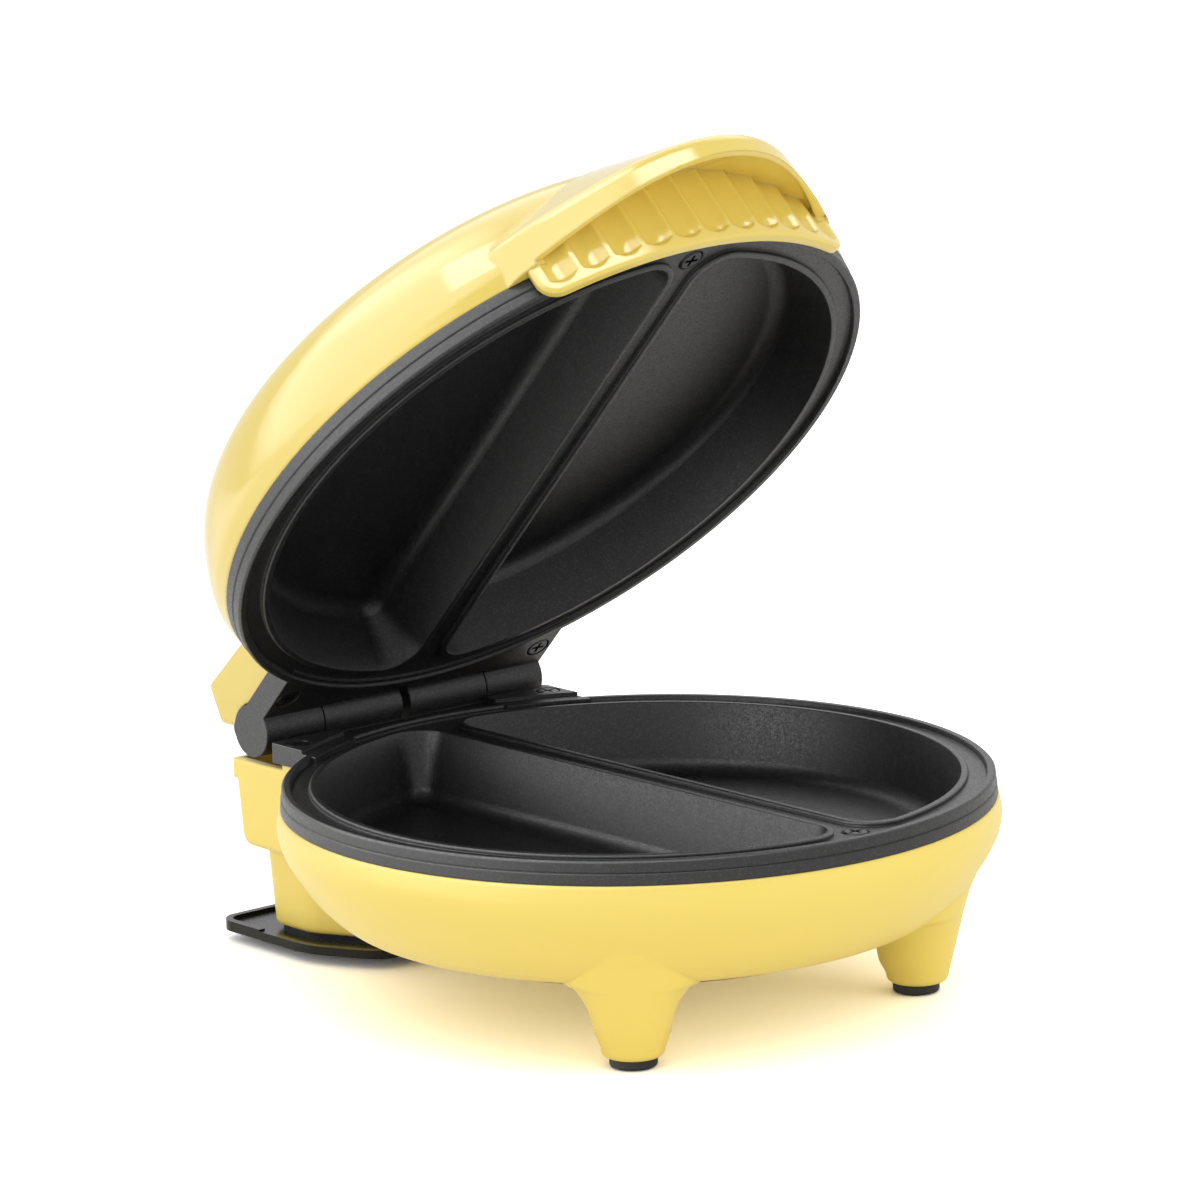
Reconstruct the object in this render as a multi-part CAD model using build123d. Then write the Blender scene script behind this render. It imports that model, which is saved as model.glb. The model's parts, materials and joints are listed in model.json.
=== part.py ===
from build123d import *
import os
from math import atan2, cos, degrees, radians, sin, sqrt, tan

# Overall sizes in mm; the plate axis is x = y = 0, the table is z = 0, the front is -y
PLATE_R = 94.0
PARTING_Z = 59.2
FACE_GAP = 0.8
LID_OPEN = 46.5

# Cast cooking plates
SKIRT_H = 6.2
SKIRT_FLARE = 0.5
SKIRT_WALL = 2.4
RIM_W = 2.2
TROUGH_DEPTH = 1.5
PLATE_WALL = 2.3
BEAD_W = 1.8
BEAD_DROP = 0.3
TROUGH_W = 5.0
WELL_SPACING = 9.6
WELL_DEPTH = 19.0
WELL_DRAFT = 14.0
WELL_CORNER_R = 8.5
WELL_FLOOR_R = 5.0
SPIGOT_H = 2.0
SPIGOT_CLEAR = 0.3

# Hinge
HINGE_BACK = 10.3
HINGE_OUT = 1.0
KNUCKLE_R = 7.2
KNUCKLE_SPLIT = 28.5
KNUCKLE_GAP = 0.5
KNUCKLE_CLEAR = 0.5
CENTRE_GAP = 3.0
PIN_R = 2.0
PIN_CLEAR = 0.05
PIN_INSET = 1.5
HINGE_RISE = 2.36
EAR_DROP = 0.8
EAR_RISE = 1.0
EAR_T = 5.5
EAR_RIM_CLEAR = 1.2
EAR_EXTRA = 1.8
EAR_CLEAR = 1.0
ARM_REAR = 5.6

# Moulded shells
SHELL_PROUD = 1.5
SHELL_WALL = 2.5
BOWL_H = 33.6
DOME_H = 35.4
BOWL_SHAPE = [(0.993, 0.0), (1.0, 0.12), (0.987, 0.315), (0.952, 0.495), (0.905, 0.675), (0.862, 0.795),
              (0.795, 0.905), (0.68, 0.975), (0.52, 1.0)]
DOME_SHAPE = [(0.991, 0.0), (0.998, 0.11), (0.99, 0.28), (0.967, 0.47), (0.932, 0.645), (0.885, 0.775),
              (0.8, 0.88), (0.645, 0.952), (0.42, 0.985)]

# Front legs and pads
LEG_X = 49.3
LEG_Y = 53.0
LEG_FOOT_R = 8.2
LEG_ROOT_R = 12.2
LEG_FLARE = 6.0
LEG_FLARE_LOW = 6.4
LEG_FLARE_UP = 3.2
LEG_FRONT = 2.2
PAD_R = 6.2
PAD_SHOW = 2.8
PAD_SEAT = 2.0

# Rear housing, pedestal and cord-wrap stand
HOUSING_HALF = 47.5
HOUSING_BACK = 10.0
HOUSING_DRAFT = 2.9
HOUSING_Z = 28.6
HOUSING_EDGE_R = 1.8
HOUSING_HEEL_R = 3.5
BAND_H = 5.5
BAND_PROUD = 0.6
RECESS_D = 6.5
RECESS_WALL = 2.2
RECESS_FRONT = 1.0
PEDESTAL_HALF = 43.0
PEDESTAL_IN = 3.0
PEDESTAL_SIDE = 20.3
PEDESTAL_L = 41.3
PEDESTAL_DRAFT = 4.2
PEDESTAL_CORNER_R = 8.0
PEDESTAL_WAIST_R = 14.0
PEDESTAL_NOSE_R = 6.0
PEDESTAL_FOOT_R = 1.6
STAND_Z = 2.8
STAND_T = 1.8
STAND_HALF = 47.8
STAND_OUT = 9.7
STAND_SIDE = 40.0
STAND_L = 61.0
STAND_STEP = 1.2
STAND_PAD_IN = 1.6
STAND_CORNER_R = 6.0
STAND_WAIST_R = 24.0
STAND_NOSE_R = 12.0
STAND_KEY_H = 1.6
STAND_KEY_CLEAR = 0.4
STAND_SCREW_X = 23.65
STAND_SCREW_IN = 25.7
STAND_LIP_W = 2.0
STAND_LIP_H = 0.6
STAND_LIP_REAR = 0.5
STAND_LIP_L = 19.0
REAR_PAD_X = 36.0
REAR_PAD_IN = 12.0
REAR_PAD_SEAT = 1.0
GLAND_R = 5.0
GLAND_BORE_R = 3.3
GLAND_FLANGE_R = 7.8
GLAND_FLANGE_T = 1.8
GLAND_PAD_H = 0.6
GLAND_RISE = 11.4
VENTS = 7
VENT_PITCH = 10.0
VENT_L = 22.0
VENT_W = 3.2
VENT_Y = -8.0

# Lid handle and lid rear tab
LIP_OUT = 15.5
LIP_HALF = 46.3
LIP_SWEEP = 28.2
LIP_RISE = 10.8
LIP_ARCH = 3.0
LIP_EDGE = 2.0
LIP_H = 6.0
HOOD_SLOPE = 30.5
HOOD_RISE = 17.0
HOOD_TAIL = [(29.6, 4.1), (32.4, 2.2), (34.6, -0.3), (36.8, -3.8)]
LIP_LOW_R = 1.2
GRIP_OUT = 4.4
GRIP_ANGLE = 31.5
GRIP_DROP = 3.0
GRIP_CORNER_R = 6.0
SKIRT_CLEAR = 0.5
FLUTES = 11
FLUTE_R = 5.4
FLUTE_DEPTH = 1.9
FLUTE_START = 4.0
FLUTE_RUN = 2.2
FLUTE_MARGIN = 1.6
TAB_H = 15.6
TAB_BACK = 11.3
TAB_LEAN = 3.8
TAB_RISE = 4.0
TAB_EDGE_R = 2.2

# Heating parts
ELEMENT_R = 3.2
ELEMENT_RING = 45.0
ELEMENT_ARC = 326.0
CLAMP_T = 1.5
CLAMP_W = 18.0
CLAMP_L = 104.0
SHIELD_R = 62.0
SHIELD_T = 0.8
SHIELD_POST_R = 3.5
POST_R = 4.2
THERMO_R = 7.4
THERMO_H = 5.0
FUSE_R = 2.2
FUSE_L = 15.3
BLOCK_X = 26.0
BLOCK_W = 22.0
BLOCK_D = 12.0
BLOCK_H = 11.0
BLOCK_PITCH = 11.0
BLOCK_HOLE_R = 2.2
BLOCK_CLEAR = 0.4

# Screws
SCREW_R = 1.9
SCREW_L = 14.0
HEAD_R = 3.4
HEAD_H = 2.2
CROSS_W = 0.9
CROSS_L = 4.2
HOLE_CLEAR = 0.2
BOSS_R = 4.4
FRONT_SCREW_IN = 10.0
FRONT_PAD_T = 2.6
HEAD_PROUD = 0.3
EAR_SCREW_EDGE = 4.5
EAR_SCREW_IN = 14.8

# Lamps
LENS_R = 3.6
LENS_X = 9.0
LENS_Y = 52.0
LENS_PROUD = 1.4
BOARD_T = 1.2

# Places and levels that follow from the sizes above
SHELL_R = PLATE_R + SHELL_PROUD
HINGE_Y = PLATE_R + HINGE_BACK
HINGE_HALF = HOUSING_HALF + HINGE_OUT
HOUSING_REAR = HINGE_Y + HOUSING_BACK
PEDESTAL_REAR = HOUSING_REAR - PEDESTAL_IN
PEDESTAL_WAIST = PEDESTAL_REAR - PEDESTAL_SIDE
PEDESTAL_FRONT = PEDESTAL_REAR - PEDESTAL_L
STAND_REAR = HOUSING_REAR + STAND_OUT
STAND_WAIST = STAND_REAR - STAND_SIDE
STAND_FRONT = STAND_REAR - STAND_L
STAND_SCREW_Y = STAND_REAR - STAND_SCREW_IN
STAND_LIP_FROM = STAND_REAR - STAND_LIP_L
REAR_PAD_Y = STAND_REAR - REAR_PAD_IN
GRIP_R = PLATE_R + GRIP_OUT
LIP_REACH = GRIP_R + LIP_OUT
LIP_END_Y = LIP_REACH - LIP_SWEEP
LIP_Z = PARTING_Z + LIP_RISE
FRONT_SCREW_Y = PLATE_R - FRONT_SCREW_IN
EAR_SCREW_X = HINGE_HALF - EAR_SCREW_EDGE
EAR_SCREW_Y = HINGE_Y - EAR_SCREW_IN
FACE_Z = PARTING_Z - FACE_GAP / 2
RIM_Z = FACE_Z - SKIRT_H
LID_RIM_Z = 2 * PARTING_Z - RIM_Z
TROUGH_Z = FACE_Z - TROUGH_DEPTH
FLANGE_Z = TROUGH_Z - PLATE_WALL
BEAD_Z = FACE_Z - BEAD_DROP
WELL_Z = BEAD_Z - WELL_DEPTH
WELL_BACK_Z = WELL_Z - PLATE_WALL
CLAMP_Z = WELL_BACK_Z - 2 * ELEMENT_R
BOWL_Z = RIM_Z - BOWL_H
DOME_Z = LID_RIM_Z + DOME_H
WELL_R = PLATE_R - RIM_W - TROUGH_W - BEAD_W
EAR_Z = FACE_Z - EAR_DROP
LOW_EAR_Z = FACE_Z + EAR_RISE
LOW_EAR_BACK = LOW_EAR_Z - EAR_T
HINGE_Z = PARTING_Z + HINGE_RISE
FRONT_SEAT_Z = TROUGH_Z + HEAD_PROUD - HEAD_H
FRONT_BOSS_Z = FLANGE_Z - FRONT_PAD_T
FLANGE_Y = HINGE_Y - KNUCKLE_R - EAR_CLEAR
STAND_TOP = STAND_Z + STAND_T
PEDESTAL_Z = STAND_TOP + STAND_STEP
RECESS_Y = SHELL_R + RECESS_FRONT
RECESS_Z = RIM_Z - RECESS_D
TAB_Z = LID_RIM_Z + EAR_EXTRA
TAB_TOP = TAB_Z + TAB_H
TAB_REAR = HINGE_Y + TAB_BACK
BACK_Z = RIM_Z - EAR_EXTRA
UP_AXIS_Z = PARTING_Z - HINGE_RISE
LEG_TOP = RIM_Z - BOWL_H * 0.45
LEG_GROW = (LEG_ROOT_R - LEG_FOOT_R) / (BOWL_Z - PAD_SHOW)
SHIELD_Z = CLAMP_Z - CLAMP_T - HEAD_H - 2.2
STAND_BOSS_Z = STAND_Z + HEAD_H + 2.2
GLAND_Z = HOUSING_Z + GLAND_RISE
GLAND_Y = HOUSING_REAR + GLAND_PAD_H
GRIP_IN = PLATE_R + SKIRT_FLARE + SKIRT_CLEAR
GRIP_Z = PARTING_Z - GRIP_DROP
LIP_TOP = LIP_Z + LIP_H
HOOD_RUN = HOOD_RISE / tan(radians(HOOD_SLOPE))
LID_FLANGE_Z = 2 * PARTING_Z - FLANGE_Z
LID_SHIELD_Z = 2 * PARTING_Z - SHIELD_Z + SHIELD_T
LENS_Z = DOME_Z - SHELL_WALL - 2.5
PARTING = Plane((0, 0, PARTING_Z))
HINGE_AXIS = Axis((0, HINGE_Y, HINGE_Z), (-1, 0, 0))


def upper(shape):
    return mirror(shape, about=PARTING)


def soft(shape, picker, radii):
    # round the picked edges with the largest radius in the list that the shape can take
    for radius in radii:
        try:
            rounded = fillet(picker(shape), radius)
            if rounded.is_valid and rounded.volume > 0.5 * shape.volume:
                return rounded
        except Exception:
            continue
    return shape


def spun(points):
    wire = Polyline(*[(r, 0, z) for r, z in points], close=True)
    return revolve(make_face(wire), Axis.Z)


def between(x0, x1, y0, y1, z0, z1):
    block = Box(x1 - x0, y1 - y0, z1 - z0)
    return Pos((x0 + x1) / 2, (y0 + y1) / 2, (z0 + z1) / 2) * block


def post(x, y, z0, z1, radius):
    return Pos(x, y, (z0 + z1) / 2) * Cylinder(radius, z1 - z0)


def across(y, z, x0, x1, radius):
    return Pos((x0 + x1) / 2, y, z) * Rot(0, 90, 0) * Cylinder(radius, x1 - x0)


def side_profile(points, half):
    wire = Polyline(*[(0, y, z) for y, z in points], close=True)
    return extrude(make_face(wire), amount=half, dir=(1, 0, 0), both=True)


# Turned skin of a shell: lip at z0, crown at z0 + height, set in by a wall thickness
def skin(shape, z0, height, inset):
    pts = [(r * SHELL_R, z0 + h * height) for r, h in shape]
    up = 1 if height > 0 else -1
    moved = []
    for i, (r, z) in enumerate(pts):
        a = pts[max(i - 1, 0)]
        b = pts[min(i + 1, len(pts) - 1)]
        dr, dz = b[0] - a[0], b[1] - a[1]
        if i == 0:
            dr, dz = 0, up
        if i == len(pts) - 1:
            dr, dz = -1, 0
        size = sqrt(dr * dr + dz * dz)
        moved.append((r - inset * up * dz / size, z + inset * up * dr / size))
    crown = moved[-1][1]
    start = [(moved[0][0], 0, z0)]
    if inset:
        start.append((moved[0][0], 0, z0 - up * 2 * inset))
    curve = Spline(*[(r, 0, z) for r, z in moved], tangents=[(0.05, 0, up), (-1, 0, 0)])
    top = Polyline(*start, (0, 0, start[-1][2]), (0, 0, crown), (moved[-1][0], 0, crown))
    return revolve(make_face(Wire(list(curve.edges()) + list(top.edges()))), Axis.Z)


# Screw standing with its head's underside at z, pointing down
def screw(x, y, z, length=SCREW_L):
    head = soft(post(x, y, z, z + HEAD_H, HEAD_R), lambda s: s.edges().group_by(Axis.Z)[-1], [0.8, 0.4])
    shank = post(x, y, z - length, z, SCREW_R)
    slot = Pos(x, y, z + HEAD_H) * (Box(CROSS_L, CROSS_W, HEAD_H) + Box(CROSS_W, CROSS_L, HEAD_H))
    return head + shank - slot


# Half-round well outline on the +x side, grown by a margin
def well_outline(grow):
    cut = Pos(WELL_R + WELL_SPACING / 2 - grow, 0) * Rectangle(2 * WELL_R, 4 * WELL_R)
    half = Circle(WELL_R + grow) & cut
    return fillet(half.vertices(), WELL_CORNER_R + grow)


def well_solid(grow, top, depth, floor_r):
    body = extrude(Pos(0, 0, top) * well_outline(grow), amount=-depth, taper=WELL_DRAFT)
    radii = [floor_r, floor_r * 0.7, floor_r * 0.4]
    return soft(body, lambda s: s.faces().sort_by(Axis.Z)[0].edges(), radii)


# Cooking plate in the lower attitude, before its hinge barrels and rear flange
def plate_body():
    spigot_r = SHELL_R * BOWL_SHAPE[0][0] - SHELL_WALL - SPIGOT_CLEAR
    inner_r = spigot_r - SKIRT_WALL
    mid_z = FACE_Z - SKIRT_H / 2
    plate = spun([
        (0, FLANGE_Z), (inner_r, FLANGE_Z), (inner_r, RIM_Z - SPIGOT_H), (spigot_r, RIM_Z - SPIGOT_H),
        (spigot_r, RIM_Z), (PLATE_R + SKIRT_FLARE, RIM_Z), (PLATE_R + SKIRT_FLARE * 0.7, mid_z - 0.25),
        (PLATE_R - 0.1, mid_z), (PLATE_R + SKIRT_FLARE * 0.4, mid_z + 0.25), (PLATE_R, FACE_Z - 0.5),
        (PLATE_R - 0.5, FACE_Z), (PLATE_R - RIM_W, FACE_Z), (PLATE_R - RIM_W - 0.4, TROUGH_Z),
        (0, TROUGH_Z)])
    # wells with their beads
    for side in (0, 180):
        bead = extrude(Pos(0, 0, TROUGH_Z - 0.5) * well_outline(BEAD_W), amount=BEAD_Z - TROUGH_Z + 0.5)
        bead = soft(bead, lambda s: s.faces().sort_by(Axis.Z)[-1].edges(), [0.6, 0.3])
        cup = well_solid(PLATE_WALL, TROUGH_Z, TROUGH_Z - WELL_BACK_Z, WELL_FLOOR_R + PLATE_WALL)
        plate = plate + Rot(0, 0, side) * bead + Rot(0, 0, side) * cup
    plate = plate + post(0, 0, CLAMP_Z, FLANGE_Z + 0.5, POST_R)
    for side in (0, 180):
        plate = plate - Rot(0, 0, side) * well_solid(0, BEAD_Z + 0.001, WELL_DEPTH + 0.001, WELL_FLOOR_R)
    # front screw seat
    pad = post(0, -FRONT_SCREW_Y, FRONT_BOSS_Z, TROUGH_Z - 0.5, HEAD_R + 1.6)
    for side in (0, 180):
        pad = pad - Rot(0, 0, side) * well_solid(0, BEAD_Z + 0.001, WELL_DEPTH + 0.001, WELL_FLOOR_R)
    plate = plate + pad
    plate = plate - post(0, -FRONT_SCREW_Y, FRONT_BOSS_Z - 1, FACE_Z, SCREW_R + HOLE_CLEAR)
    plate = plate - post(0, -FRONT_SCREW_Y, FRONT_SEAT_Z, FACE_Z, HEAD_R + HOLE_CLEAR)
    plate = plate - post(0, 0, CLAMP_Z - 1, CLAMP_Z + SCREW_L * 0.7, SCREW_R)
    return plate


# Rear flange, ears and hinge barrels; arm is the side profile of one barrel's arm
def hinged(body, knuckles, axis_z, arm, back_z, ear_z, ear_back):
    inner_r = SHELL_R * BOWL_SHAPE[0][0] - SHELL_WALL - SPIGOT_CLEAR - SKIRT_WALL
    core = post(0, 0, back_z - 1, ear_z + 1, inner_r + 0.5)
    rim = post(0, 0, FACE_Z, ear_z + 1, PLATE_R + EAR_RIM_CLEAR)
    middle = between(-OUTER_END, OUTER_END, PLATE_R * 0.75, FLANGE_Y, back_z, EAR_Z)
    plate = body + (middle - core)
    for side in (0, 1):
        ear = between(OUTER_END - 2, HINGE_HALF, PLATE_R * 0.75, FLANGE_Y, ear_back, ear_z)
        ear = soft(ear, ear_corner, [1.5, 0.8]) - core - rim
        plate = plate + (mirror(ear, about=Plane.YZ) if side else ear)
    for x0, x1 in knuckles:
        limb = soft(side_profile(arm, (x1 - x0) / 2), arm_corner, [2.5, 1.5])
        plate = plate + Pos((x0 + x1) / 2, 0, 0) * limb
        plate = plate + across(HINGE_Y, axis_z, x0, x1, KNUCKLE_R)
    for x in (-EAR_SCREW_X, EAR_SCREW_X):
        plate = plate - post(x, EAR_SCREW_Y, back_z - 1, ear_z + 1, SCREW_R + HOLE_CLEAR)
        plate = plate - post(x, EAR_SCREW_Y, ear_z - HEAD_H, ear_z + 1, HEAD_R + HOLE_CLEAR)
    return plate


def ear_corner(s):
    return s.edges().filter_by(Axis.Z).sort_by(lambda e: e.center().X + e.center().Y)[-1:]


def arm_corner(s):
    low = s.edges().filter_by(Axis.X)
    return [e for e in low if abs(e.center().Z - BACK_Z) < 0.01 and e.center().Y > HINGE_Y]


INNER_END = KNUCKLE_SPLIT - KNUCKLE_GAP / 2
OUTER_END = KNUCKLE_SPLIT + KNUCKLE_GAP / 2
INNER_KNUCKLES = [(-INNER_END, -CENTRE_GAP / 2), (CENTRE_GAP / 2, INNER_END)]
OUTER_KNUCKLES = [(-HINGE_HALF, -OUTER_END), (OUTER_END, HINGE_HALF)]
PIN_HALF = HINGE_HALF - PIN_INSET
body = plate_body()
lower_arm = [(FLANGE_Y - 6, EAR_Z), (HINGE_Y - 3, EAR_Z), (HINGE_Y + 2, HINGE_Z - 2),
             (HINGE_Y + 2, HINGE_Z - KNUCKLE_R + 0.5), (HINGE_Y, HINGE_Z - KNUCKLE_R), (FLANGE_Y - 6, RIM_Z)]
upper_arm = [(FLANGE_Y - 6, EAR_Z), (HINGE_Y - KNUCKLE_R * 0.95, EAR_Z), (HINGE_Y, UP_AXIS_Z),
             (HINGE_Y + KNUCKLE_R * 0.97, UP_AXIS_Z - KNUCKLE_R * 0.2), (HINGE_Y + ARM_REAR, BACK_Z),
             (FLANGE_Y - 6, BACK_Z)]
lower_plate = hinged(body, INNER_KNUCKLES, HINGE_Z, lower_arm, RIM_Z, LOW_EAR_Z, LOW_EAR_BACK)
lower_plate = lower_plate - across(HINGE_Y, HINGE_Z, -PIN_HALF, PIN_HALF, PIN_R)
upper_plate = upper(hinged(body, OUTER_KNUCKLES, UP_AXIS_Z, upper_arm, BACK_Z, EAR_Z, BACK_Z))
upper_plate = upper_plate - across(HINGE_Y, HINGE_Z, -PIN_HALF, PIN_HALF, PIN_R + PIN_CLEAR)
hinge_pin = across(HINGE_Y, HINGE_Z, -PIN_HALF, PIN_HALF, PIN_R)


# Plate screws, lower attitude
def plate_screws(ear_z):
    parts = [screw(0, -FRONT_SCREW_Y, FRONT_SEAT_Z)]
    for x in (-EAR_SCREW_X, EAR_SCREW_X):
        parts.append(screw(x, EAR_SCREW_Y, ear_z - HEAD_H))
    return Compound(parts)


# Tubular heater, clamp bar and shield, lower attitude
def heater():
    start = 90 + (360 - ELEMENT_ARC) / 2
    z = WELL_BACK_Z - ELEMENT_R
    path = Pos(0, 0, z) * CenterArc((0, 0), ELEMENT_RING, start, ELEMENT_ARC)
    tube = sweep(Plane(path @ 0, z_dir=path % 0) * Circle(ELEMENT_R), path=path)
    for t in (0, 1):
        out = (path % t) * (1 if t else -1)
        tube = tube + extrude(Plane(path @ t, z_dir=out) * Circle(ELEMENT_R * 0.45), amount=8)
    return tube


def clamp_bar():
    bar = between(-CLAMP_L / 2, CLAMP_L / 2, -CLAMP_W / 2, CLAMP_W / 2, CLAMP_Z - CLAMP_T, CLAMP_Z)
    bar = fillet(bar.edges().filter_by(Axis.Z), CLAMP_W * 0.3)
    return bar - post(0, 0, CLAMP_Z - CLAMP_T - 1, CLAMP_Z + 1, SCREW_R + HOLE_CLEAR)


def clamp_screw():
    z = CLAMP_Z - CLAMP_T
    return mirror(screw(0, 0, z, SCREW_L * 0.7), about=Plane((0, 0, z)))


SHIELD_POSTS = [(ELEMENT_RING * cos(radians(a)), ELEMENT_RING * sin(radians(a))) for a in (90, 210, 330)]


def shield():
    dish = spun([(0, SHIELD_Z - SHIELD_T), (SHIELD_R, SHIELD_Z - SHIELD_T), (SHIELD_R + 2, SHIELD_Z + 2),
                 (SHIELD_R + 1.2, SHIELD_Z + 2), (SHIELD_R - 0.6, SHIELD_Z), (0, SHIELD_Z)])
    for x, y in SHIELD_POSTS:
        dish = dish - post(x * 0.6, y * 0.6, SHIELD_Z - 2, SHIELD_Z + 1, SHIELD_POST_R)
    return dish


lower_element = heater()
lower_clamp = clamp_bar()
lower_clamp_screw = clamp_screw()
lower_shield = shield()
lower_screws = plate_screws(LOW_EAR_Z)
upper_screws = upper(plate_screws(EAR_Z))

# Base shell: bowl, legs, rear housing and pedestal in one moulding
bowl_out = skin(BOWL_SHAPE, RIM_Z, -BOWL_H, 0)
bowl_in = skin(BOWL_SHAPE, RIM_Z, -BOWL_H, SHELL_WALL)
bowl_out = soft(bowl_out, lambda s: s.faces().sort_by(Axis.Z)[-1].edges(), [0.9, 0.5])


def leg_cone(inset, z0):
    height = LEG_TOP - z0
    low = LEG_FOOT_R + LEG_GROW * (z0 - PAD_SHOW) - inset
    return Pos(0, 0, z0 + height / 2) * Cone(low, low + LEG_GROW * height, height)


# Level section of a leg: spread widens it towards the middle and sides, front carries it outwards
def leg_section(z, spread, front):
    radius = LEG_FOOT_R + LEG_GROW * (z - PAD_SHOW)
    return Pos(0, spread - front, z) * Circle(radius + spread)


# Leg whose sides sweep out into the bowl's underside on a quarter round
def flared_leg():
    low = BOWL_Z - LEG_FLARE_LOW
    high = BOWL_Z + LEG_FLARE_UP
    cuts = [leg_section(PAD_SHOW, 0, 0), leg_section((PAD_SHOW + low) / 2, 0, 0), leg_section(low, 0, 0)]
    for t in (0.35, 0.6, 0.8, 0.93, 1):
        cuts.append(leg_section(low + t * (high - low), LEG_FLARE * (1 - sqrt(1 - t * t)), 0))
    for t in (0.25, 0.5, 0.75, 1):
        cuts.append(leg_section(high + t * (LEG_TOP - high), LEG_FLARE, LEG_FRONT * t * t))
    return soft(loft(cuts), lambda s: s.edges().group_by(Axis.Z)[0], [1.6, 0.8])


leg = flared_leg()
leg_turn = degrees(atan2(LEG_X, LEG_Y))
base = bowl_out
for side in (-1, 1):
    base = base + Pos(side * LEG_X, -LEG_Y, 0) * Rot(0, 0, side * leg_turn) * leg

front_y = PLATE_R * 0.55
housing = side_profile([(front_y, RIM_Z), (HOUSING_REAR, RIM_Z), (HOUSING_REAR - HOUSING_DRAFT, HOUSING_Z),
                        (front_y, HOUSING_Z - 1.5)], HOUSING_HALF)


def heel_edge(s):
    return [e for e in s.edges().filter_by(Axis.X) if abs(e.center().Z - HOUSING_Z) < 0.01]


def rear_edges(s):
    keep = []
    for e in s.edges():
        if e.center().Y > HOUSING_REAR - HOUSING_DRAFT - HOUSING_HEEL_R:
            keep.append(e)
        elif abs(e.center().X) > HOUSING_HALF - 0.1 and e.center().Z < RIM_Z - 1:
            keep.append(e)
    return keep


housing = soft(housing, heel_edge, [HOUSING_HEEL_R, HOUSING_HEEL_R * 0.6])
housing = soft(housing, rear_edges, [HOUSING_EDGE_R, HOUSING_EDGE_R * 0.6, HOUSING_EDGE_R * 0.3])
band = between(-HOUSING_HALF, HOUSING_HALF, RECESS_Y, HOUSING_REAR + BAND_PROUD, RIM_Z - BAND_H, RIM_Z)
band = soft(band, lambda s: s.faces().sort_by(Axis.Y)[-1].edges(), [1.2, 0.6])
housing = housing + band


# Rounded outline in plan with a waist: straight back, straight sides, sides drawn in to a narrower front
def tongue(half, rear, waist, front, rear_r, side_r, front_r):
    nose = half - (waist - front) * 0.5
    pts = [(half, rear), (half, waist), (nose, front), (-nose, front), (-half, waist), (-half, rear)]
    face = make_face(Polyline(*pts, close=True))
    face = fillet(face.vertices().group_by(Axis.Y)[-1], rear_r)
    face = fillet([v for v in face.vertices() if abs(v.Y - waist) < 0.01], side_r)
    return fillet(face.vertices().group_by(Axis.Y)[0], front_r)


def pedestal_solid(inset, z0, z1):
    flat = tongue(PEDESTAL_HALF - inset, PEDESTAL_REAR - inset, PEDESTAL_WAIST, PEDESTAL_FRONT + inset,
                  PEDESTAL_CORNER_R - inset * 0.8, PEDESTAL_WAIST_R, PEDESTAL_NOSE_R)
    return extrude(Pos(0, 0, z1) * flat, amount=-(z1 - z0), taper=PEDESTAL_DRAFT)


pedestal = pedestal_solid(0, PEDESTAL_Z, HOUSING_Z + 1.0)
foot_radii = [PEDESTAL_FOOT_R, PEDESTAL_FOOT_R * 0.5]
pedestal = soft(pedestal, lambda s: s.faces().sort_by(Axis.Z)[0].edges(), foot_radii)
base = base + housing + pedestal
base = base - bowl_in
CEILING_Z = RECESS_Z - SHELL_WALL
house_in = side_profile([(front_y - 2, RIM_Z - SHELL_WALL), (RECESS_Y - SHELL_WALL, RIM_Z - SHELL_WALL),
                         (RECESS_Y - SHELL_WALL, CEILING_Z), (HOUSING_REAR - SHELL_WALL - 1.1, CEILING_Z),
                         (HOUSING_REAR - HOUSING_DRAFT - SHELL_WALL, HOUSING_Z + SHELL_WALL),
                         (front_y - 2, HOUSING_Z + SHELL_WALL - 1)], HOUSING_HALF - SHELL_WALL)
base = base - house_in - pedestal_solid(SHELL_WALL, PEDESTAL_Z - 1, HOUSING_Z + SHELL_WALL + 1)
for x in (-LEG_X, LEG_X):
    base = base - Pos(x, -LEG_Y, 0) * leg_cone(SHELL_WALL, PAD_SHOW + PAD_SEAT + SHELL_WALL)
    base = base - post(x, -LEG_Y, PAD_SHOW - 1, PAD_SHOW + PAD_SEAT, PAD_R)

# Bosses inside the base
bosses = post(0, -FRONT_SCREW_Y, BOWL_Z, FRONT_BOSS_Z, BOSS_R)
bosses = bosses + post(0, -FRONT_SCREW_Y - BOSS_R, BOWL_Z, RIM_Z - SPIGOT_H - 1, BOSS_R * 0.6)
for x, y in SHIELD_POSTS:
    bosses = bosses + post(x, y, BOWL_Z + 1, SHIELD_Z - SHIELD_T, SHIELD_POST_R)
hold = post(0, 0, RIM_Z - 1, FLANGE_Z, SHELL_R - SHELL_WALL - SKIRT_WALL - 1.0)
base = base + (bosses & (bowl_out + hold))
for x in (-EAR_SCREW_X, EAR_SCREW_X):
    boss = post(x, EAR_SCREW_Y, RIM_Z - SCREW_L - 1, LOW_EAR_BACK, BOSS_R)
    base = base + (boss & between(-HOUSING_HALF, HOUSING_HALF, front_y, RECESS_Y, HOUSING_Z, RIM_Z + EAR_T))
    base = base - post(x, EAR_SCREW_Y, LOW_EAR_Z - HEAD_H - SCREW_L, LOW_EAR_BACK + 1, SCREW_R)
base = base - post(0, -FRONT_SCREW_Y, FRONT_SEAT_Z - SCREW_L, FLANGE_Z + 1, SCREW_R)

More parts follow.
